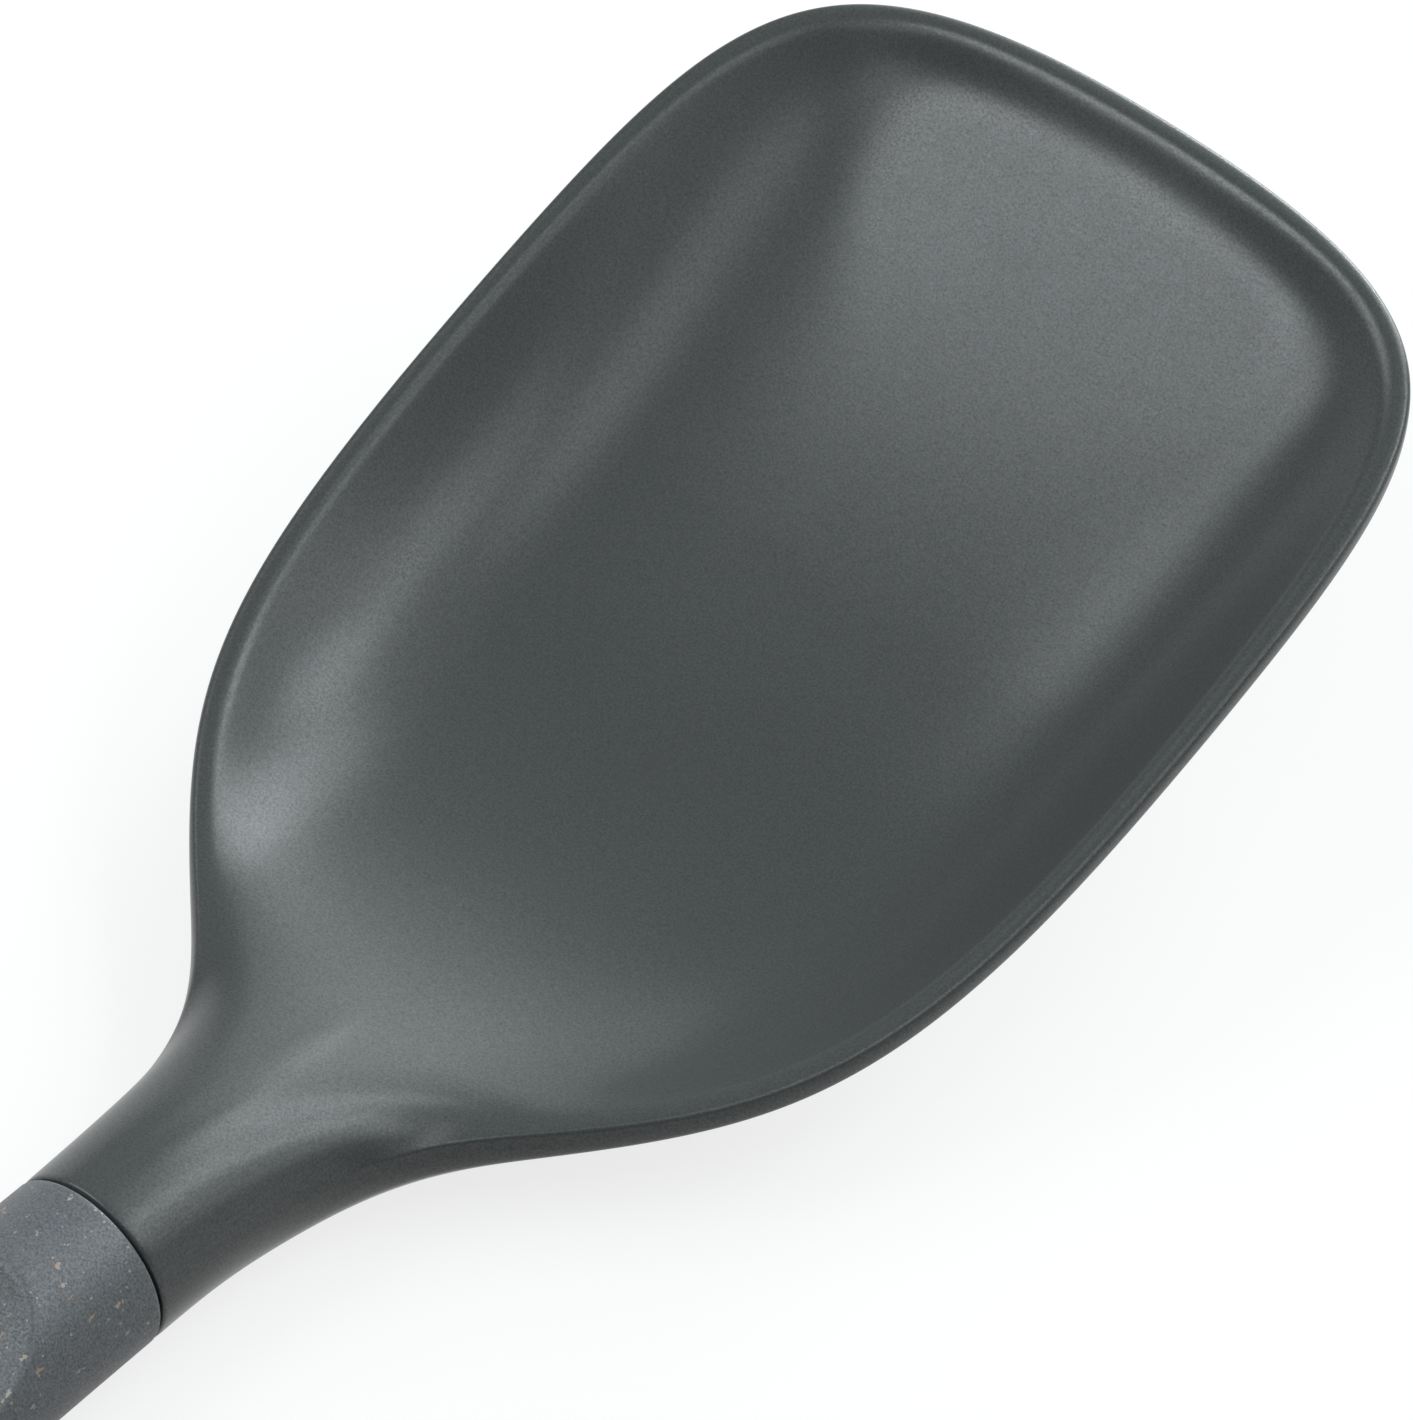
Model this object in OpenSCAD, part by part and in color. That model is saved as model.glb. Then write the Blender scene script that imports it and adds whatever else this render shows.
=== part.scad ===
// Single blade paddle: a broad scooped turner for cooking and serving.
// A silicone head is moulded round a stiff core, and the core's tang is seated in a composite handle.
// +Y runs along the handle towards the blade's tip and +Z is up. The paddle lies on z = 0,
// with the origin under the middle of its length.

/* [Blade outline] */
// Width of the blade across its rim
blade_w = 84.8; // [74:0.2:96]
// Length of the head from the joint to the tip
head_l = 145.5; // [130:0.5:165]
// Distance from the tip back to the widest point
widest_back = 47; // [40:1:54]
// Squareness of the tip's corners along the side
corner_side = 0.74; // [0.5:0.01:0.9]
// Squareness of the tip's corners along the tip
corner_tip = 0.97; // [0.7:0.01:1]
// Distance from the joint to the middle of the flare
flare_y = 36; // [30:0.5:42]
// Width of the head at the middle of the flare
flare_w = 42.8; // [36:0.2:50]
// Angle of the outline at the middle of the flare
flare_angle = 45; // [35:1:52]
// Pull of the flare's curve towards the neck
flare_in = 11; // [6:0.5:14]
// Pull of the flare's curve towards the blade
flare_out = 22.5; // [14:0.5:28]
// Length over which the side runs straight into the widest point
side_pull = 37.5; // [25:0.5:42]

/* [Blade profile] */
// Height of the rim above the handle's axis at the heel
heel_rise = 5.3; // [3:0.1:8]
// Distance from the joint to the heel
heel_y = 50; // [44:1:56]
// Pitch of the rim at the heel
heel_pitch = 12.5; // [8:0.5:16]
// Height of the rim above the handle's axis at the tip
tip_rise = 36.2; // [28:0.2:44]
// Pitch of the rim at the tip
tip_pitch = 13.9; // [8:0.1:20]
// Distance from the joint to the foot of the ramp from the neck
low_y = 49; // [46:0.5:56]
// Depth of the ramp's foot below the handle's axis
low_drop = 0; // [-0.5:0.1:1.5]
// Pitch of the floor where it meets the tip
floor_pitch = 37; // [32:0.5:40]
// Height of the rim over the floor at the land's inner edge, in the middle of the tip
tip_step = 1.5; // [0.8:0.1:1.8]
// Thickness of the floor
floor_t = 3.2; // [3:0.1:4]

/* [Rim] */
// Width of the rim's flat land
rim_land = 2.2; // [1.8:0.1:3]
// Height of the rim's outer edge
rim_h = 2.6; // [1.8:0.1:3]
// Rounding of the rim's outer edges
rim_round = 0.6; // [0.3:0.1:0.7]
// Half the width of the roll from the land into the wall
rim_roll = 1; // [0.6:0.1:1.2]
// Width of the side walls, before the blade's own width limits it
wall_run = 52; // [44:0.5:60]
// Width of the wall at the tip
tip_wall_run = 6; // [4:0.1:8]
// Power of the wall's curve: higher is steeper under the rim
wall_power = 4.1; // [3.4:0.1:4.6]

/* [Neck] */
// Diameter of the neck and the handle at the joint
joint_d = 17.5; // [15:0.1:20]
// Length of the neck that is a plain cylinder
neck_l = 6; // [4:0.5:9]
// Pull of the neck's sides towards the flare
neck_pull = 21.7; // [14:0.1:24]
// Squareness of the flanks under the flare: 2 is round
flank_square = 3; // [2:0.1:4]
// How far the flanks stand out under the rim at the flare
flank_swell = 1; // [0:0.1:2]
// Groove between the head and the handle
joint_gap = 0.25; // [0.15:0.05:0.6]
// Rounding of the edges at the joint
joint_round = 0.35; // [0.2:0.05:0.6]

/* [Core] */
// Thickness of the core's plate in the floor
core_t = 1.4; // [1:0.1:1.6]
// Share of the wall, from the rim down, that has no core
core_inset = 0.4; // [0.3:0.05:0.7]
// Silicone over the core in the neck
neck_skin = 2.4; // [1.8:0.1:2.6]
// Bond line between the core and the silicone
bond_gap = 0.1; // [0.05:0.01:0.2]
// Wall of the handle over and under the tang at the thumb rest
tang_wall = 2.3; // [2.1:0.1:3]
// Length of the tang in the handle
tang_l = 56; // [40:1:80]
// Number of barbs on the tang
barbs = 6; // [3:1:8]
// Height of each barb
barb_h = 0.5; // [0.3:0.05:0.8]

/* [Handle] */
// Length of the handle
handle_l = 200; // [175:1:225]
// Largest diameter of the grip
grip_d = 20.6; // [18:0.1:24]
// Distance from the joint to the largest diameter
grip_y = 118; // [100:1:135]
// Diameter of the handle where its rounded end starts
tail_d = 18.4; // [16:0.1:20]
// Length of the rounded end
tail_round = 9; // [6:0.5:12]
// Clearance of the socket round the tang and past its end
fit_gap = 0.1; // [0.05:0.01:0.3]

/* [Thumb rest] */
// Distance from the joint to the deepest point of the thumb rest
rest_y = 25.5; // [24:0.5:34]
// Height of the thumb rest's deepest point above the handle's axis
rest_z = 3.1; // [1:0.1:5]
// Radius of the short ramp at the joint's end
rest_front_r = 24; // [18:0.5:26]
// Radius of the long ramp towards the grip
rest_back_r = 230; // [150:5:280]

/* [Hanging hole] */
// Diameter of the hole
hang_d = 8; // [5:0.1:9]
// Distance from the hole's middle to the end of the handle
hang_back = 15; // [12:0.5:20]
// Thickness of the flattened tail
tail_t = 12; // [9.5:0.1:14]
// Length of the flattened tail
tail_flat_l = 26; // [22:0.5:32]
// Radius of the ramp from the grip down to the tail
tail_ramp_r = 160; // [100:5:220]

/* [Hidden] */
$fn = 64;

joint_r = joint_d / 2;
half_w = blade_w / 2;
bar_r = joint_r - neck_skin;
mid_y = (head_l - handle_l) / 2;

// Radius of the tang over its barbs, and its drop below the handle's axis to pass under the thumb rest
tang_r = (joint_r + rest_z) / 2 - tang_wall - fit_gap;
tang_drop = (joint_r - rest_z) / 2;
// Plain lengths at the tang's end and at its root
tang_lead = 2;
tang_root = 6;
// Shares of a barb's pitch where it is highest and where it has dropped back
barb_top = 0.7;
barb_foot = 0.75;

// Height that the floor's line reaches at the tip, under the land
floor_rise = tip_rise - tip_step + rim_land * tan(floor_pitch);
// Slope of the floor at the ramp's foot, where the ramp and the floor have the same curvature
ramp_l = low_y - neck_l;
floor_l = head_l - low_y;
ramp_bend = 6 * (joint_r + low_drop) / pow(ramp_l, 2);
floor_bend = 6 * (floor_rise + low_drop) / pow(floor_l, 2) - 2 * tan(floor_pitch) / floor_l;
low_slope = (floor_bend - ramp_bend) / (4 / ramp_l + 4 / floor_l);

// Where the sections turn from the round neck to the open blade
blend_lead = 1;
blend_from = neck_l + blend_lead;
blend_to = low_y;
// Where the underside leaves the neck's line and where it is parallel to the floor
keel_lead = 6;
keel_run = 20;
keel_from = neck_l + keel_lead;
keel_to = low_y + keel_run;
// Where the flanks under the rim start to turn into the blade's underside
flank_lead = 10;
flank_from = flare_y - flank_lead;
// Slope of the rim's line where it starts at the joint
rim_slope = 0.05;
// Largest share of a half section that the wall may take, and how sharply that limit sets in
wall_share = 0.88;
limit_power = 4;
// Shares of the tip's curve between which the wall narrows
tip_wall_from = 0.06;
tip_wall_to = 0.75;
// How far the middle line reaches towards the tip past the widest point
spine_run = 0.85 * widest_back;
// Least sine of the angle at which a section is taken to cross the rim
least_cross = 0.5;
// Slope of the handle's side where its rounded end starts
tail_slope = 0.05;
// How far a bore runs past the face it opens in
past = 1;

// The outline of the right half, from just past the joint to the tip
outline_from = 2;
neck_point = [joint_r, outline_from];
flare_point = [flare_w / 2, flare_y];
flare_dir = [sin(flare_angle), cos(flare_angle)];
wide_point = [half_w, head_l - widest_back];
tip_point = [0, head_l];
flank_curve = [
    neck_point,
    neck_point + [0, neck_pull],
    flare_point - flare_in * flare_dir,
    flare_point
];
shoulder_curve = [
    flare_point,
    flare_point + flare_out * flare_dir,
    wide_point - [0, side_pull],
    wide_point
];
tip_curve = [
    wide_point,
    wide_point + [0, corner_side * widest_back],
    tip_point + [corner_tip * half_w, 0],
    tip_point
];
flank_steps = 12;
shoulder_steps = 14;
tip_steps = 20;

// A section runs from the middle of the top over the rim to the middle of the underside.
// Its points are spread over the floor, the wall, the roll, the edge and the underside by these shares.
floor_shares = [0, 1 / 3, 2 / 3];
wall_shares = [1, 0.84, 0.68, 0.53, 0.39, 0.26, 0.13, 0];
roll_shares = [1 / 3, -1 / 3, -1];
corner_cut = 1 - sqrt(0.5);
under_wall_shares = [0.12, 0.26, 0.42, 0.6, 0.8, 1];
under_floor_shares = [0.7, 0.35, 0];
edge_points = 6;
// Index of the first point of the edge, and the number of points in all
edge_n = len(floor_shares) + len(wall_shares) + len(roll_shares);
section_n = edge_n + edge_points + len(under_wall_shares) + len(under_floor_shares);
// The core's section has half as many steps, and its plate is spread by these shares
plate_shares = [0, 0.2, 0.4, 0.6, 0.8, 0.93];
core_n = (section_n + 1) / 2;

function mix(a, b, t) = a + (b - a) * t;

function smooth(lo, hi, v) =
    let (t = min(1, max(0, (v - lo) / (hi - lo))))
    t * t * (3 - 2 * t);

function soft_min(a, b) = pow(pow(a, -limit_power) + pow(b, -limit_power), -1 / limit_power);

// A curve from (y0, z0) to (y1, z1) with the slopes m0 and m1 at its ends
function ease(y0, z0, m0, y1, z1, m1, y) =
    let (h = y1 - y0, t = (y - y0) / h)
    z0 * (2 * t * t * t - 3 * t * t + 1) + m0 * h * (t * t * t - 2 * t * t + t)
    + z1 * (3 * t * t - 2 * t * t * t) + m1 * h * (t * t * t - t * t);

function bezier(p, t) =
    let (s = 1 - t)
    s * s * s * p[0] + 3 * s * s * t * p[1] + 3 * s * t * t * p[2] + t * t * t * p[3];

function bezier_dir(p, t) =
    let (s = 1 - t, d = s * s * (p[1] - p[0]) + 2 * s * t * (p[2] - p[1]) + t * t * (p[3] - p[2]))
    d / norm(d);

// Height of the rim above the handle's axis
function rim_z(y) =
    y < heel_y
    ? ease(0, 0, rim_slope, heel_y, heel_rise, tan(heel_pitch), y)
    : ease(heel_y, heel_rise, tan(heel_pitch), head_l, tip_rise, tan(tip_pitch), y);

// Height of the top along the middle: the neck's top, the ramp down and the floor up to the tip
function floor_z(y) =
    y < neck_l
    ? joint_r
    : y < low_y
    ? ease(neck_l, joint_r, 0, low_y, -low_drop, low_slope, y)
    : ease(low_y, -low_drop, low_slope, head_l, floor_rise, tan(floor_pitch), y);

// Height of the underside along the middle: the neck's keel runs out under the floor
function under_z(y) = mix(-joint_r, floor_z(y) - floor_t, smooth(keel_from, keel_to, y));

// Share of the way from the rim to the floor, at a distance past the middle of the roll
function wall_drop(x, run) =
    let (d = x < -rim_roll ? 0 : x > rim_roll ? x : (x + rim_roll) * (x + rim_roll) / (4 * rim_roll))
    1 - pow(1 - min(1, d / run), wall_power);

// A station holds the outline's point, the middle line's point, the outline's direction
// and the wall's width.
function side_station(curve, t) =
    let (p = bezier(curve, t))
    [p, [0, p[1]], bezier_dir(curve, t), wall_run];

function tip_station(t) = [
    bezier(tip_curve, t),
    [0, wide_point[1] + spine_run * t],
    bezier_dir(tip_curve, t),
    mix(wall_run, tip_wall_run, smooth(tip_wall_from, tip_wall_to, t))
];

stations = concat(
    [for (i = [0:flank_steps - 1]) side_station(flank_curve, i / flank_steps)],
    [for (i = [0:shoulder_steps - 1]) side_station(shoulder_curve, i / shoulder_steps)],
    [for (i = [0:tip_steps]) tip_station(i / tip_steps)]
);
core_stations = [for (i = [0:2:len(stations) - 1]) stations[i]];

// Length and direction of a section from the middle line to the rim
function section_l(st) = norm(st[0] - st[1]);
function section_dir(st) = (st[0] - st[1]) / section_l(st);

// Stretch of the section's widths where it doesn't cross the rim squarely
function skew(st) =
    let (e = section_dir(st))
    1 / max(least_cross, e[0] * st[2][1] - e[1] * st[2][0]);

// Widths of the land and the wall along the section, the wall narrower where the head is
function section_land(st) = skew(st) * rim_land;
function section_run(st) = soft_min(skew(st) * st[3], wall_share * section_l(st));

// Height of the blade's top on a section, at a distance from the middle line
function top_z(st, d) =
    let (
        k = skew(st),
        x = section_l(st) - section_land(st) - d,
        floor_h = floor_z(st[1][1] + section_dir(st)[1] * d)
    )
    mix(rim_z(st[0][1]), floor_h, wall_drop(x / k, section_run(st) / k));

// Height of the blade's underside likewise
function low_z(st, d) =
    let (
        edge = skew(st) * rim_round,
        f = (section_l(st) - edge - d) / (section_land(st) + section_run(st) - edge),
        under_h = under_z(st[1][1] + section_dir(st)[1] * d)
    )
    mix(rim_z(st[0][1]) - rim_h, under_h, 1 - pow(1 - min(1, f), wall_power));

// Points of one half section, all on the right
function head_half(st) =
    let (
        p = st[0],
        s = st[1],
        l = section_l(st),
        e = section_dir(st),
        k = skew(st),
        run = section_run(st),
        land = section_land(st),
        flat = l - land - run,
        zr = rim_z(p[1]),
        b = smooth(blend_from, blend_to, p[1]),
        b_under = smooth(flank_from, keel_to, p[1]),
        square = 2 / mix(2, flank_square, smooth(neck_l, flare_y, p[1])),
        swell = flank_swell * smooth(neck_l, flare_y, p[1]),
        top = function(d) [d, top_z(st, d)],
        under = function(d) [d, low_z(st, d)],
        edge = function(d, h) [l - k * d, zr - h],
        cut = corner_cut * rim_round,
        blade = concat(
            [for (f = floor_shares) top(f * flat)],
            [for (f = wall_shares) top(l - land - mix(rim_roll * k, run, f))],
            [for (f = roll_shares) top(l - land - f * rim_roll * k)],
            [edge(rim_round, 0), edge(cut, cut), edge(0, rim_round)],
            [edge(0, rim_h - rim_round), edge(cut, rim_h - cut), edge(rim_round, rim_h)],
            [for (f = under_wall_shares) under(l - mix(k * rim_round, land + run, f))],
            [for (f = under_floor_shares) under(f * flat)]
        ),
        half_up = floor_z(p[1]) - zr,
        half_down = zr - under_z(p[1])
    )
    [for (i = [0:section_n - 1])
        let (
            a = 90 - 180 * i / (section_n - 1),
            neck = a > 0
                ? [l * cos(a), zr + half_up * sin(a)]
                : [l * pow(cos(a), square) - swell * sin(2 * a), zr - half_down * pow(-sin(a), square)],
            q = mix(neck, blade[i], mix(b, b_under, smooth(edge_n, section_n, i))),
            xy = s + e * q[0]
        )
        [xy[0], xy[1], q[1]]];

// Points of one half section of the core, grown by g for the hollow that it fills
function core_half(st, g) =
    let (
        p = st[0],
        s = st[1],
        l = section_l(st),
        e = section_dir(st),
        plate_l = l - section_land(st) - core_inset * section_run(st) + g,
        b = smooth(blend_from, blend_to, p[1]),
        h = core_t / 2 + g,
        plate_z = function(d) (top_z(st, d) + low_z(st, d)) / 2,
        plate = concat(
            [for (f = plate_shares) [f * plate_l, plate_z(f * plate_l) + h]],
            [for (f = [1, 0, -1]) [plate_l - (f == 0 ? 0 : corner_cut * h), plate_z(plate_l) + f * h / 2]],
            [for (i = [len(plate_shares) - 1:-1:0])
                [plate_shares[i] * plate_l, plate_z(plate_shares[i] * plate_l) - h]]
        ),
        bar_mid = (floor_z(p[1]) + under_z(p[1])) / 2,
        bar_h = max(core_t / 2, (floor_z(p[1]) - under_z(p[1])) / 2 - neck_skin) + g
    )
    [for (i = [0:core_n - 1])
        let (
            a = 90 - 180 * i / (core_n - 1),
            bar = [(l - neck_skin + g) * cos(a), bar_mid + bar_h * sin(a)],
            q = mix(bar, plate[i], b),
            xy = s + e * q[0]
        )
        [xy[0], xy[1], q[1]]];

function circle_half(y, r, n, z = 0) = [
    for (i = [0:n - 1])
        let (a = 180 * i / (n - 1))
        [r * sin(a), y, z + r * cos(a)]
];

// A closed ring from its right half
function ring(half) = concat(half, [for (i = [len(half) - 2:-1:1]) [-half[i][0], half[i][1], half[i][2]]]);

function flat_list(lists) = [for (l = lists) each l];

// Triangles between neighbouring rings of n points. The last ring is a seam of n / 2 + 1 points.
function band(first, rings, n, outward) = [
    for (j = [0:rings - 2], i = [0:n - 1])
        let (
            seam = j == rings - 2,
            i2 = (i + 1) % n,
            a = first + j * n + i,
            b = first + j * n + i2,
            c = first + (j + 1) * n + (seam && i2 > n / 2 ? n - i2 : i2),
            d = first + (j + 1) * n + (seam && i > n / 2 ? n - i : i),
            faces = [[a, b, c], [a, c, d]]
        )
        for (f = faces)
            if (f[0] != f[1] && f[1] != f[2] && f[2] != f[0])
                outward ? [f[0], f[2], f[1]] : f
];

// Rings of the head's skin, from the joint to the seam at the tip
head_rings = concat(
    [circle_half(joint_gap, joint_r - joint_round, section_n)],
    [circle_half(joint_gap + corner_cut * joint_round, joint_r - corner_cut * joint_round, section_n)],
    [circle_half(joint_gap + joint_round, joint_r, section_n)],
    [for (st = stations) head_half(st)]
);
hollow_rings = concat(
    [circle_half(joint_gap, bar_r + bond_gap, core_n)],
    [for (st = core_stations) core_half(st, bond_gap)]
);

// All points of a stack of halves: rings, and the last half alone as the seam
function stack(halves) = concat(
    flat_list([for (i = [0:len(halves) - 2]) ring(halves[i])]),
    halves[len(halves) - 1]
);

// The blade and neck, hollow round the core and open at the joint
module head_skin() {
    n = 2 * (section_n - 1);
    m = 2 * (core_n - 1);
    skin = stack(head_rings);
    hollow = stack(hollow_rings);
    o = len(skin);
    end_face = [
        for (q = [0:m - 1])
            let (a = 2 * q, b = 2 * q + 1, c = (2 * q + 2) % n, d = o + q, e = o + (q + 1) % m)
            each [[a, b, d], [b, e, d], [b, c, e]]
    ];
    polyhedron(
        points = concat(skin, hollow),
        faces = concat(
            band(0, len(head_rings), n, true),
            band(o, len(hollow_rings), m, false),
            end_face
        )
    );
}

// Rings of the tang: a lead-in, then barbs that rise towards the joint and drop behind
barb_step = (tang_l - tang_lead - tang_root) / barbs;
function tang_half(y, r) = circle_half(y, r, core_n, -tang_drop);
tang_rings = concat(
    [tang_half(-tang_l, tang_r - 2 * barb_h)],
    [for (i = [0:barbs - 1], f = [0, barb_top, barb_foot])
        tang_half(tang_lead - tang_l + (i + f) * barb_step, f == barb_top ? tang_r : tang_r - barb_h)],
    [tang_half(fit_gap, tang_r - barb_h)],
    [circle_half(fit_gap, bar_r, core_n)]
);
core_rings = concat(tang_rings, [for (st = core_stations) core_half(st, 0)]);

module core_solid() {
    m = 2 * (core_n - 1);
    polyhedron(
        points = stack(core_rings),
        faces = concat([[for (i = [0:m - 1]) i]], band(0, len(core_rings), m, true))
    );
}

// Outline of the handle's turned body as [radius, distance behind the joint]
grip_steps = 16;
end_steps = 8;
handle_profile = concat(
    [[0, 0], [joint_r - joint_round, 0]],
    [[joint_r - corner_cut * joint_round, corner_cut * joint_round]],
    [for (i = [0:grip_steps])
        let (y = mix(joint_round, grip_y, i / grip_steps))
        [ease(0, joint_r, 0, grip_y, grip_d / 2, 0, y), y]],
    [for (i = [1:grip_steps])
        let (y = mix(grip_y, handle_l - tail_round, i / grip_steps))
        [ease(grip_y, grip_d / 2, 0, handle_l - tail_round, tail_d / 2, -tail_slope, y), y]],
    [for (i = [1:end_steps])
        let (a = 90 * i / end_steps)
        [tail_d / 2 * cos(a), handle_l - tail_round + tail_round * sin(a)]]
);

// Draws a side view, with distances behind the joint and heights, and pushes it
// through the handle's width
module across(w) {
    rotate([90, 0, -90])
        translate([0, 0, -w / 2])
            linear_extrude(w)
                children();
}

// What is taken from the top for the thumb: a short ramp in front and a long one behind
module thumb_rest() {
    depth = grip_d;
    across(2 * grip_d) {
        intersection() {
            translate([rest_y, rest_z + rest_front_r]) circle(rest_front_r);
            translate([rest_y - rest_front_r, rest_z]) square([rest_front_r, depth]);
        }
        intersection() {
            translate([rest_y, rest_z + rest_back_r]) circle(rest_back_r);
            translate([rest_y, rest_z]) square([rest_back_r, depth]);
        }
    }
}

// What is taken from the top of the tail, so that the hanging hole goes through a flat
module tail_flat() {
    depth = grip_d;
    flat_y = handle_l - tail_flat_l;
    flat_z = tail_t - joint_r;
    across(2 * grip_d) {
        translate([flat_y, flat_z]) square([2 * tail_flat_l, depth]);
        intersection() {
            translate([flat_y, flat_z + tail_ramp_r]) circle(tail_ramp_r);
            translate([flat_y - tail_ramp_r, flat_z]) square([tail_ramp_r, depth]);
        }
    }
}

// The grip is turned, flat underneath in line with the neck, and bored for the tang and the hook
module handle_body() {
    difference() {
        rotate([90, 0, 0]) rotate_extrude() polygon(handle_profile);
        translate([-grip_d, -2 * handle_l, -grip_d - joint_r]) cube([2 * grip_d, 3 * handle_l, grip_d]);
        thumb_rest();
        tail_flat();
        translate([0, past, -tang_drop])
            rotate([90, 0, 0])
                cylinder(h = past + tang_l + fit_gap, r = tang_r + fit_gap);
        translate([0, hang_back - handle_l, -grip_d]) cylinder(h = 2 * grip_d, d = hang_d);
    }
}

module placed() {
    translate([0, -mid_y, joint_r]) children();
}

module silicone_head() {
    color("#585d5e") placed() head_skin();
}

module blade_core() {
    color("#2b2d2e") placed() core_solid();
}

module handle() {
    color("#6b6f72") placed() handle_body();
}

silicone_head();
blade_core();
handle();
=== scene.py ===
"""A scooped kitchen paddle: silicone head, hidden nylon core and flecked composite handle.

Everything is in the part's own frame: +Y runs along the handle to the blade's tip, +Z is up and
the paddle lies on z = 0. Sizes below are in millimetres, as in the part's source, and MM turns
them to the frame's metres.
"""

import math

import bmesh
import bpy
from mathutils import Matrix, Vector


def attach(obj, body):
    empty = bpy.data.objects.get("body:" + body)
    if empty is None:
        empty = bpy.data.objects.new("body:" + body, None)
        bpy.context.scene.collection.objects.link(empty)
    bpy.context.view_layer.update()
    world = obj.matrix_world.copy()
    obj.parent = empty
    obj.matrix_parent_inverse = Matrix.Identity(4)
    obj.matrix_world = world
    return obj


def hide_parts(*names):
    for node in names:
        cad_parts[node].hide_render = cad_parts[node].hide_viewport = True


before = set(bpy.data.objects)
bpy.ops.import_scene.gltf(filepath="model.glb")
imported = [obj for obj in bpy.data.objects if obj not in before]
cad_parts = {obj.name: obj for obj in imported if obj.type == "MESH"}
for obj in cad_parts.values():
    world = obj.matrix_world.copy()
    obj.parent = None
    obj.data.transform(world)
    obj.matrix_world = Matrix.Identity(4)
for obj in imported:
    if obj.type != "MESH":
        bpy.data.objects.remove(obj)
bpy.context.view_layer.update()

MM = 0.001

# Points of a mesh that are nearer together than this are merged
WELD = 0.001

# The head's triangles are paired into quads: how far two may lean apart and how skew a quad may be,
# in degrees, and how strongly the pairs keep to rows. Then come the levels of smoothing.
PAIR_LEAN = 60
PAIR_SKEW = 180
PAIR_ROWS = 2.0
HEAD_LEVELS = 2

# The joint between head and handle, whose axis is the joint's radius above the floor
JOINT_Y = 27.25
JOINT_R = 8.75
JOINT_ROUND = 0.35
JOINT_ROWS = 4
AXIS_Z = JOINT_R

# A low ring on the handle's front that closes the joint's hairline gap from sight
SEAT_IN_R = 6.8
SEAT_OUT_R = 7.9
SEAT_H = 0.2

# The turned handle, with distances measured back from the joint
HANDLE_L = 200
GRIP_AT = 118
GRIP_R = 10.3
TAIL_R = 9.2
TAIL_ROUND = 9
TAIL_ROWS = 20
TAIL_SLOPE = 0.05
TURN_STEPS = 180
ROW_PITCH = 0.7
# As far back as this, past the front of the thumb rest, the rows are finer for its crisp edge
FINE_TO = 34
FINE_PITCH = 0.25

# The thumb rest, with its height above the handle's axis
REST_AT = 25.5
REST_Z = 3.1
REST_FRONT_R = 24
REST_BACK_R = 230
REST_EDGE = 0.35

# The flat tail, with its height above the handle's axis, and the hanging hole
TAIL_FLAT_AT = 174
TAIL_FLAT_Z = 3.25
TAIL_RAMP_R = 160
TAIL_EDGE = 1.4
HOLE_AT = 185
HOLE_R = 4
HOLE_ROUND = 0.8
HOLE_ROWS = 6
BORE_STEPS = 64

# The narrow flat underneath: the width of its soft edge, and how far behind the joint it starts
FLAT_EDGE = 0.8
FLAT_FROM = 0.8

# The socket for the core's tang
SOCKET_R = 3.625
SOCKET_DROP = 2.825
SOCKET_L = 56.1

# How far the cutters of the hole and the socket stand out of the handle
CUTTER_PAST = 3


def linear(code):
    """An sRGB hex colour as linear red, green, blue and alpha."""
    parts = [int(code[i:i + 2], 16) / 255 for i in (1, 3, 5)]
    return [p / 12.92 if p <= 0.04045 else ((p + 0.055) / 1.055) ** 2.4 for p in parts] + [1.0]


def add(tree, kind, inputs=None, **settings):
    """A node of this kind, with its settings, and its sockets set to values or linked to outputs."""
    node = tree.nodes.new("ShaderNode" + kind)
    for name, value in settings.items():
        setattr(node, name, value)
    for socket, value in (inputs or {}).items():
        if isinstance(value, bpy.types.NodeSocket):
            tree.links.new(value, node.inputs[socket])
        else:
            node.inputs[socket].default_value = value
    return node


def new_material(name):
    """A material with no nodes yet."""
    material = bpy.data.materials.new(name)
    material.use_nodes = True
    material.node_tree.nodes.clear()
    return material


def per_mm(size):
    """The texture scale that gives a pattern of this size in millimetres."""
    return 1 / (size * MM)


# Numbers of a Mix node's colour sockets, because its sockets share names
MIX_A = 6
MIX_B = 7
MIX_OUT = 2

# Sizes of the silicone's grain and of the broad clouds in its sheen
SILICONE_GRAIN = 0.22
SILICONE_HAZE = 14


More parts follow.
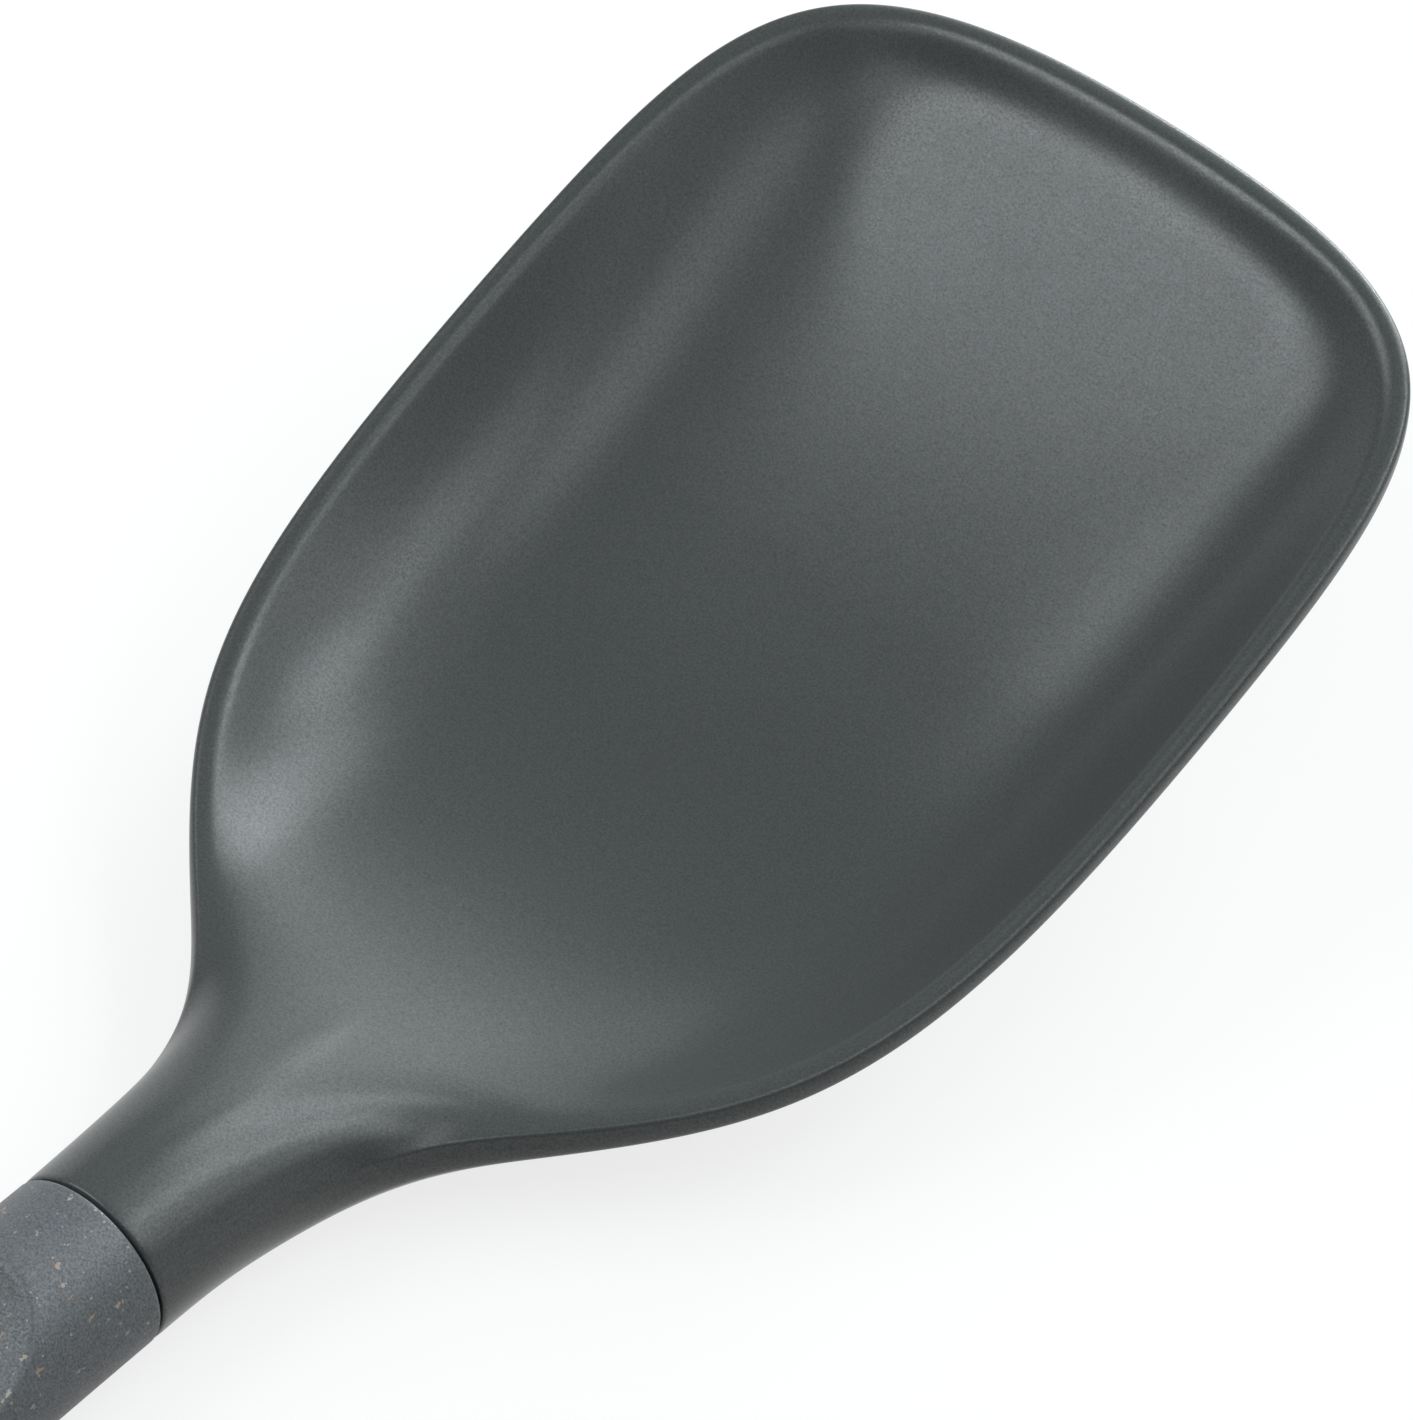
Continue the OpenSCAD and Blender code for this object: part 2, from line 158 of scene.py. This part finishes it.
def moulded_silicone():
    # Silicone out of a spark-eroded mould: dark neutral grey, satin, with broad highlights that
    # the fine grain breaks up. The real grain is about 0.1 mm, and is drawn coarser so that it shows.
    material = new_material("moulded_silicone")
    tree = material.node_tree
    place = add(tree, "TexCoord").outputs["Object"]
    grain = add(tree, "TexNoise", {"Vector": place, "Scale": per_mm(SILICONE_GRAIN),
                                   "Detail": 2.0, "Roughness": 0.6})
    haze = add(tree, "TexNoise", {"Vector": place, "Scale": per_mm(SILICONE_HAZE),
                                  "Detail": 3.0, "Roughness": 0.55})
    tint = add(tree, "Mix", {"Factor": grain.outputs["Fac"], MIX_A: linear("#363838"),
                             MIX_B: linear("#505252")}, data_type="RGBA")
    satin = add(tree, "MapRange", {"Value": haze.outputs["Fac"], "From Min": 0.3, "From Max": 0.7,
                                   "To Min": 0.27, "To Max": 0.30})
    glint = add(tree, "MapRange", {"Value": grain.outputs["Fac"], "From Min": 0.3, "From Max": 0.7,
                                   "To Min": 0.3, "To Max": 0.7})
    shader = add(tree, "BsdfPrincipled", {
        "Base Color": tint.outputs[MIX_OUT],
        "Roughness": satin.outputs["Result"],
        "IOR": 1.41,
        "Specular IOR Level": glint.outputs["Result"],
    })
    add(tree, "OutputMaterial", {"Surface": shader.outputs["BSDF"]})
    return material


# Sizes of the composite's grain and of the broad clouds in its sheen
COMPOSITE_GRAIN = 0.22
COMPOSITE_HAZE = 9

# The dots: the size of their cells, the share of cells that have none, and a dot's strength. The
# largest radius and the soft edge are shares of a cell.
DOT_CELL = 0.65
DOT_NONE = 0.4
DOT_R = 0.24
DOT_SOFT = 0.05
DOT_STRENGTH = 0.8


def pale_dots(tree, place, under):
    """The colour under them with tiny dots, which show where the surface cuts a cell's pale middle."""
    cells = add(tree, "TexVoronoi", {"Vector": place, "Scale": per_mm(DOT_CELL)})
    pick = add(tree, "SeparateColor", {"Color": cells.outputs["Color"]})
    size = add(tree, "MapRange", {"Value": pick.outputs["Red"], "From Min": DOT_NONE, "From Max": 1.0,
                                  "To Min": 0.0, "To Max": DOT_R})
    depth = add(tree, "Math", {0: size.outputs["Result"], 1: cells.outputs["Distance"]},
                operation="SUBTRACT")
    dot = add(tree, "MapRange", {"Value": depth.outputs["Value"], "From Min": 0.0, "From Max": DOT_SOFT,
                                 "To Min": 0.0, "To Max": DOT_STRENGTH})
    dotted = add(tree, "Mix", {"Factor": dot.outputs["Result"], MIX_A: under,
                               MIX_B: linear("#8b8f90")}, data_type="RGBA")
    return dotted.outputs[MIX_OUT]


# The chips: the size of their cells, how far and how finely a cell is bent, and the turn in radians
# and the stretch that draw the cells out aslant
CHIP_CELL = 0.9
CHIP_BEND = 0.9
CHIP_BEND_SIZE = 0.5
CHIP_TURN = (0.5, 0.3, 0.9)
CHIP_STRETCH = (1.0, 0.45, 1.0)
# The share of cells that have none, and the largest radius and the soft edge as shares of a cell
CHIP_NONE = 0.15
CHIP_R = 0.28
CHIP_SOFT = 0.04
# The size of the loose groups, and the levels of their noise where chips start and are full-sized
GROUP_SIZE = 4.5
GROUP_FROM = 0.38
GROUP_FULL = 0.5


def fibre_chips(tree, place, under):
    """The colour under them with chips, the middles of bent and drawn-out cells that lie in a group."""
    wander = add(tree, "TexNoise", {"Vector": place, "Scale": per_mm(CHIP_BEND_SIZE), "Detail": 1.0})
    push = add(tree, "VectorMath", {0: wander.outputs["Color"], 1: (0.5, 0.5, 0.5)},
               operation="SUBTRACT")
    bent = add(tree, "VectorMath", {0: push.outputs["Vector"], 1: (CHIP_BEND * MM,) * 3, 2: place},
               operation="MULTIPLY_ADD")
    lay = add(tree, "Mapping", {"Vector": bent.outputs["Vector"], "Rotation": CHIP_TURN,
                                "Scale": CHIP_STRETCH})
    cells = add(tree, "TexVoronoi", {"Vector": lay.outputs["Vector"], "Scale": per_mm(CHIP_CELL)})
    pick = add(tree, "SeparateColor", {"Color": cells.outputs["Color"]})
    size = add(tree, "MapRange", {"Value": pick.outputs["Red"], "From Min": CHIP_NONE, "From Max": 1.0,
                                  "To Min": 0.0, "To Max": CHIP_R})
    group = add(tree, "TexNoise", {"Vector": place, "Scale": per_mm(GROUP_SIZE), "Detail": 1.0})
    held = add(tree, "MapRange", {"Value": group.outputs["Fac"], "From Min": GROUP_FROM,
                                  "From Max": GROUP_FULL})
    reach = add(tree, "Math", {0: size.outputs["Result"], 1: held.outputs["Result"]},
                operation="MULTIPLY")
    depth = add(tree, "Math", {0: reach.outputs["Value"], 1: cells.outputs["Distance"]},
                operation="SUBTRACT")
    chip = add(tree, "MapRange", {"Value": depth.outputs["Value"], "From Min": 0.0,
                                  "From Max": CHIP_SOFT})
    fibre = add(tree, "Mix", {"Factor": pick.outputs["Green"], MIX_A: linear("#8a6c58"),
                              MIX_B: linear("#9a958c")}, data_type="RGBA")
    flecked = add(tree, "Mix", {"Factor": chip.outputs["Result"], MIX_A: under,
                                MIX_B: fibre.outputs[MIX_OUT]}, data_type="RGBA")
    return flecked.outputs[MIX_OUT]


def flecked_composite():
    # Plant fibre in a dark polymer: satin grey with a fine sandy grain, tiny pale dots, and sparse
    # chips of tan and pale fibre up to about 1 mm long that lie in loose groups. The grain is drawn
    # at about twice its real size so that it shows.
    material = new_material("flecked_composite")
    tree = material.node_tree
    place = add(tree, "TexCoord").outputs["Object"]
    grain = add(tree, "TexNoise", {"Vector": place, "Scale": per_mm(COMPOSITE_GRAIN),
                                   "Detail": 2.0, "Roughness": 0.65})
    haze = add(tree, "TexNoise", {"Vector": place, "Scale": per_mm(COMPOSITE_HAZE),
                                  "Detail": 3.0, "Roughness": 0.55})
    body = add(tree, "Mix", {"Factor": grain.outputs["Fac"], MIX_A: linear("#3f4245"),
                             MIX_B: linear("#696c6f")}, data_type="RGBA")
    dotted = pale_dots(tree, place, body.outputs[MIX_OUT])
    tint = fibre_chips(tree, place, dotted)
    satin = add(tree, "MapRange", {"Value": haze.outputs["Fac"], "From Min": 0.3, "From Max": 0.7,
                                   "To Min": 0.42, "To Max": 0.50})
    glint = add(tree, "MapRange", {"Value": grain.outputs["Fac"], "From Min": 0.35, "From Max": 0.65,
                                   "To Min": 0.15, "To Max": 0.7})
    shader = add(tree, "BsdfPrincipled", {
        "Base Color": tint,
        "Roughness": satin.outputs["Result"],
        "IOR": 1.5,
        "Specular IOR Level": glint.outputs["Result"],
    })
    add(tree, "OutputMaterial", {"Surface": shader.outputs["BSDF"]})
    return material


# The nylon's fibres: their width, the stretch that draws them out along the flow, and their relief
FIBRE_W = 0.4
FIBRE_STRETCH = (1, 0.15, 1)
FIBRE_RELIEF = 0.08


def filled_nylon():
    # Glass-filled nylon as moulded: near black and matt, with short paler fibres along the flow.
    # Real glass fibres are much finer, and are drawn coarser so that they show.
    material = new_material("glass_filled_nylon")
    tree = material.node_tree
    place = add(tree, "TexCoord").outputs["Object"]
    flow = add(tree, "Mapping", {"Vector": place, "Scale": FIBRE_STRETCH})
    fibre = add(tree, "TexNoise", {"Vector": flow.outputs["Vector"], "Scale": per_mm(FIBRE_W),
                                   "Detail": 3.0})
    tint = add(tree, "Mix", {"Factor": fibre.outputs["Fac"], MIX_A: linear("#1f2122"),
                             MIX_B: linear("#36393b")}, data_type="RGBA")
    relief = add(tree, "Bump", {"Height": fibre.outputs["Fac"], "Strength": 0.3,
                                "Distance": FIBRE_RELIEF * MM})
    shader = add(tree, "BsdfPrincipled", {
        "Base Color": tint.outputs[MIX_OUT],
        "Roughness": 0.6,
        "IOR": 1.53,
        "Normal": relief.outputs["Normal"],
    })
    add(tree, "OutputMaterial", {"Surface": shader.outputs["BSDF"]})
    return material


def shown(bm, name, material):
    """Makes a smooth object of a bmesh."""
    mesh = bpy.data.meshes.new(name)
    for face in bm.faces:
        face.smooth = True
    bm.to_mesh(mesh)
    bm.free()
    mesh.materials.append(material)
    piece = bpy.data.objects.new(name, mesh)
    bpy.context.scene.collection.objects.link(piece)
    return piece


def dress_head(material):
    """The head's own mesh as quads, rounded off by subdivision."""
    bm = bmesh.new()
    bm.from_mesh(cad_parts["silicone_head"].data)
    bmesh.ops.remove_doubles(bm, verts=bm.verts, dist=WELD * MM)
    bmesh.ops.join_triangles(
        bm,
        faces=bm.faces,
        angle_face_threshold=math.radians(PAIR_LEAN),
        angle_shape_threshold=math.radians(PAIR_SKEW),
        topology_influence=PAIR_ROWS,
    )
    head = shown(bm, "head", material)
    smooth = head.modifiers.new("smooth", "SUBSURF")
    smooth.levels = smooth.render_levels = HEAD_LEVELS
    return head


def ease(d0, r0, m0, d1, r1, m1, d):
    """A curve from (d0, r0) to (d1, r1) with the slopes m0 and m1 at its ends."""
    h = d1 - d0
    t = (d - d0) / h
    return (
        r0 * (2 * t ** 3 - 3 * t ** 2 + 1) + m0 * h * (t ** 3 - 2 * t ** 2 + t)
        + r1 * (3 * t ** 2 - 2 * t ** 3) + m1 * h * (t ** 3 - t ** 2)
    )


def soft_min(a, b, width):
    """The smaller of two heights, with the corner between them rounded over this width."""
    t = min(1, max(0, 0.5 + 0.5 * (b - a) / width))
    return b + (a - b) * t - width * t * (1 - t)


def spaced(start, end, pitch):
    """Places after start, up to end, in even steps of about this pitch."""
    count = round((end - start) / pitch)
    return [start + (end - start) * i / count for i in range(1, count + 1)]


def quarter(steps):
    """The angles of a quarter turn in even steps, from nought."""
    return [math.radians(90 * i / steps) for i in range(steps + 1)]


def handle_side():
    """Points of the turned handle's side as distance back from the joint and radius."""
    tail_at = HANDLE_L - TAIL_ROUND
    rows = [(0, 0), (0, SEAT_IN_R), (-SEAT_H, SEAT_IN_R), (-SEAT_H, SEAT_OUT_R), (0, SEAT_OUT_R)]
    rows.append((0, JOINT_R - JOINT_ROUND))
    for a in quarter(JOINT_ROWS)[1:]:
        rows.append((JOINT_ROUND * (1 - math.cos(a)), JOINT_R - JOINT_ROUND * (1 - math.sin(a))))
    for d in spaced(JOINT_ROUND, FINE_TO, FINE_PITCH) + spaced(FINE_TO, tail_at, ROW_PITCH):
        if d < GRIP_AT:
            r = ease(0, JOINT_R, 0, GRIP_AT, GRIP_R, 0, d)
        else:
            r = ease(GRIP_AT, GRIP_R, 0, tail_at, TAIL_R, -TAIL_SLOPE, d)
        rows.append((d, r))
    for a in quarter(TAIL_ROWS)[1:]:
        rows.append((tail_at + TAIL_ROUND * math.sin(a), TAIL_R * math.cos(a)))
    return rows


def rest_height(d):
    """Height of the thumb rest's surface."""
    r = REST_FRONT_R if d < REST_AT else REST_BACK_R
    run = min(abs(d - REST_AT), r)
    return REST_Z + r - math.sqrt(r * r - run * run)


def tail_height(d):
    """Height of the flat tail and of the ramp that leads down to it."""
    run = min(max(0, TAIL_FLAT_AT - d), TAIL_RAMP_R)
    return TAIL_FLAT_Z + TAIL_RAMP_R - math.sqrt(TAIL_RAMP_R ** 2 - run * run)


def pressed(d, z):
    """Where a point at height z ends up when the thumb rest, the tail and the flat are pressed in."""
    z = soft_min(z, rest_height(d), REST_EDGE)
    z = soft_min(z, tail_height(d), TAIL_EDGE)
    if d > FLAT_FROM:
        z = -soft_min(-z, JOINT_R, FLAT_EDGE)
    return z


def at(x, d, z):
    """A point given across, back from the joint and above the handle's axis, in the part's frame."""
    return Vector((x, JOINT_Y - d, AXIS_Z + z)) * MM


def turned(bm, wire, centre, axis, steps):
    """Spins a line of points once round an axis into a closed skin."""
    verts = [bm.verts.new(p) for p in wire]
    edges = [bm.edges.new(pair) for pair in zip(verts, verts[1:])]
    bmesh.ops.spin(
        bm, geom=verts + edges, cent=centre, axis=axis, angle=math.tau, steps=steps, use_merge=True
    )
    bmesh.ops.remove_doubles(bm, verts=bm.verts, dist=WELD * MM)
    bmesh.ops.recalc_face_normals(bm, faces=bm.faces)


def handle_bores():
    """What is bored out of the handle: the hanging hole with rounded mouths, and the tang's socket."""
    bm = bmesh.new()
    low = -JOINT_R
    high = TAIL_FLAT_Z
    mouth_r = HOLE_R + HOLE_ROUND
    arc = quarter(HOLE_ROWS)
    mouth = [(HOLE_R + HOLE_ROUND * (1 - math.sin(a)), HOLE_ROUND * (1 - math.cos(a))) for a in arc]
    side = [(0, low - CUTTER_PAST), (mouth_r, low - CUTTER_PAST)]
    side += [(r, low + h) for r, h in mouth]
    side += [(r, high - h) for r, h in reversed(mouth)]
    side += [(mouth_r, high + CUTTER_PAST), (0, high + CUTTER_PAST)]
    turned(bm, [at(r, HOLE_AT, z) for r, z in side], at(0, HOLE_AT, 0), (0, 0, 1), BORE_STEPS)
    socket = [(0, -CUTTER_PAST), (SOCKET_R, -CUTTER_PAST), (SOCKET_R, SOCKET_L), (0, SOCKET_L)]
    turned(
        bm, [at(r, d, -SOCKET_DROP) for r, d in socket], at(0, 0, -SOCKET_DROP), (0, 1, 0), BORE_STEPS
    )
    return bm


def bored(blank, cutters):
    """The blank's mesh with the cutters' shapes taken out of it and no slivers left."""
    cut = blank.modifiers.new("bored", "BOOLEAN")
    cut.object = cutters
    cut.solver = "EXACT"
    solid = blank.evaluated_get(bpy.context.evaluated_depsgraph_get())
    mesh = bpy.data.meshes.new_from_object(solid)
    blank.modifiers.clear()
    bm = bmesh.new()
    bm.from_mesh(mesh)
    bmesh.ops.remove_doubles(bm, verts=bm.verts, dist=WELD * MM)
    bmesh.ops.dissolve_degenerate(bm, dist=WELD * MM, edges=bm.edges)
    bm.to_mesh(mesh)
    bm.free()
    return mesh


def dress_handle(material):
    """The turned handle, pressed in for the thumb and the tail, flat underneath, then bored."""
    bm = bmesh.new()
    turned(bm, [at(r, d, 0) for d, r in handle_side()], at(0, 0, 0), (0, 1, 0), TURN_STEPS)
    for v in bm.verts:
        z = pressed(JOINT_Y - v.co.y / MM, v.co.z / MM - AXIS_Z)
        v.co.z = (AXIS_Z + z) * MM
    handle = shown(bm, "handle_grip", material)
    cutters = shown(handle_bores(), "bores", material)
    handle.data = bored(handle, cutters)
    bpy.data.objects.remove(cutters)
    return handle


silicone = moulded_silicone()
composite = flecked_composite()
nylon = filled_nylon()

head = dress_head(silicone)
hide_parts("silicone_head")
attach(head, "root")

handle = dress_handle(composite)
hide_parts("handle")
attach(handle, "root")

# The core keeps the solid's own mesh and is only given its finish
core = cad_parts["blade_core"]
core.data.materials.clear()
core.data.materials.append(nylon)


def outward(bearing, height):
    """The way out from the paddle at a bearing and height in degrees.

    Bearing 0 is towards the handle's end and 90 is to the right, seen from there.
    """
    b = math.radians(bearing)
    h = math.radians(height)
    return Vector((math.sin(b) * math.cos(h), -math.cos(b) * math.cos(h), math.sin(h)))


# The photograph's camera: its bearing, height and roll in degrees, what the middle of the frame is
# on, how far off that is, its lens and sensor, and the near and far ends of what it sees
VIEW_BEARING = 36.72
VIEW_HEIGHT = 47.39
VIEW_ROLL = 4.97
VIEW_MIDDLE = (-3.0, 113.25, AXIS_Z)
VIEW_DISTANCE = 747.9
VIEW_LENS = 205.9
VIEW_SENSOR = 36
VIEW_NEAR = 10
VIEW_FAR = 20000

camera = bpy.data.objects.new("camera", bpy.data.cameras.new("camera"))
bpy.context.scene.collection.objects.link(camera)
back = outward(VIEW_BEARING, VIEW_HEIGHT)
turn = (-back).to_track_quat("-Z", "Y").to_matrix().to_4x4()
roll = Matrix.Rotation(math.radians(VIEW_ROLL), 4, "Z")
place = Matrix.Translation((Vector(VIEW_MIDDLE) + back * VIEW_DISTANCE) * MM)
camera.matrix_world = place @ turn @ roll
camera.data.sensor_width = VIEW_SENSOR
camera.data.lens = VIEW_LENS
camera.data.clip_start = VIEW_NEAR * MM
camera.data.clip_end = VIEW_FAR * MM
bpy.context.scene.camera = camera

# The floor: a round sheet with a low wall, and the share of plain white in what is seen of it
FLOOR_R = 3000
FLOOR_SIDES = 96
WALL_H = 800
WHITE_SHARE = 0.8


def pale_floor():
    # Plain pale paper that runs up into a low wall all round, white to the camera and in gloss and
    # glass, with the shadow showing through. It sends little light back up, so that the sides of the
    # neck and the handle fall off to dark.
    material = new_material("pale_paper")
    tree = material.node_tree
    rays = add(tree, "LightPath").outputs
    eye_or_gloss = add(tree, "Math", {0: rays["Is Camera Ray"], 1: rays["Is Glossy Ray"]},
                       operation="MAXIMUM")
    seen = add(tree, "Math", {0: eye_or_gloss.outputs["Value"], 1: rays["Is Transmission Ray"]},
               operation="MAXIMUM")
    sheet = add(tree, "Mix", {"Factor": seen.outputs["Value"], MIX_A: linear("#767676"),
                              MIX_B: linear("#e4e4e4")}, data_type="RGBA")
    paper = add(tree, "BsdfDiffuse", {"Color": sheet.outputs[MIX_OUT]})
    white = add(tree, "Emission", {"Color": linear("#ffffff"), "Strength": 1.0})
    share = add(tree, "Math", {0: seen.outputs["Value"], 1: WHITE_SHARE}, operation="MULTIPLY")
    both = add(tree, "MixShader", {0: share.outputs["Value"], 1: paper.outputs["BSDF"],
                                   2: white.outputs["Emission"]})
    add(tree, "OutputMaterial", {"Surface": both.outputs["Shader"]})
    return material


bm = bmesh.new()
bmesh.ops.create_circle(bm, cap_ends=True, radius=FLOOR_R * MM, segments=FLOOR_SIDES)
border = bmesh.ops.extrude_edge_only(bm, edges=[e for e in bm.edges if e.is_boundary])["geom"]
wall_top = [g for g in border if isinstance(g, bmesh.types.BMVert)]
bmesh.ops.translate(bm, verts=wall_top, vec=(0, 0, WALL_H * MM))
shown(bm, "floor", pale_floor())

# A plain dim world, so that no side is black
WORLD_STRENGTH = 0.03

world = bpy.data.worlds.new("studio")
world.use_nodes = True
world.node_tree.nodes.clear()
sky = add(world.node_tree, "Background", {"Color": linear("#ffffff"), "Strength": WORLD_STRENGTH})
add(world.node_tree, "OutputWorld", {"Surface": sky.outputs["Background"]})
bpy.context.scene.world = world

# The lamps' distance from what they are aimed at, their tint and the sides of the soft boxes
LAMP_DISTANCE = 1000
LAMP_TINT = "#f6fdff"
SMALL_BOX = 360
MIDDLE_BOX = 550
LARGE_BOX = 800


def soft_box(name, bearing, height, size, watts):
    """A square soft box aimed at the blade from a bearing and height in degrees."""
    data = bpy.data.lights.new(name, "AREA")
    data.shape = "SQUARE"
    data.size = size * MM
    data.energy = watts
    data.color = linear(LAMP_TINT)[:3]
    box = bpy.data.objects.new(name, data)
    bpy.context.scene.collection.objects.link(box)
    out = outward(bearing, height)
    aim = Vector(VIEW_MIDDLE) * MM
    turn = out.to_track_quat("Z", "Y").to_matrix().to_4x4()
    box.matrix_world = Matrix.Translation(aim + out * (LAMP_DISTANCE * MM)) @ turn


# Soft boxes all round. The ones beyond the tip light the floor and the heel of the bowl and the neck,
# the ones on the left and behind the handle the rising front of the scoop, and the ones on the right
# its left wall.
soft_box("tip_low", 195, 18, SMALL_BOX, 3.9)
soft_box("tip_broad", 200, 22, LARGE_BOX, 2.5)
soft_box("tip_lowest", 180, 18, SMALL_BOX, 1.7)
soft_box("tip_middle", 180, 30, SMALL_BOX, 2.35)
soft_box("tip_high", 180, 50, SMALL_BOX, 2.1)
soft_box("tip_right", 144, 50, SMALL_BOX, 2.5)
soft_box("left_middle", 290, 42, SMALL_BOX, 1.2)
soft_box("left_broad", 300, 45, MIDDLE_BOX, 1.95)
soft_box("handle_left", 324, 50, SMALL_BOX, 2.7)
soft_box("handle_end", 0, 50, SMALL_BOX, 0.9)
soft_box("top", 60, 70, SMALL_BOX, 1.0)
soft_box("right_high", 108, 50, SMALL_BOX, 1.3)
soft_box("right_broad", 120, 65, LARGE_BOX, 0.9)
soft_box("right_low", 120, 30, SMALL_BOX, 0.85)

bpy.context.scene.view_settings.view_transform = "Standard"
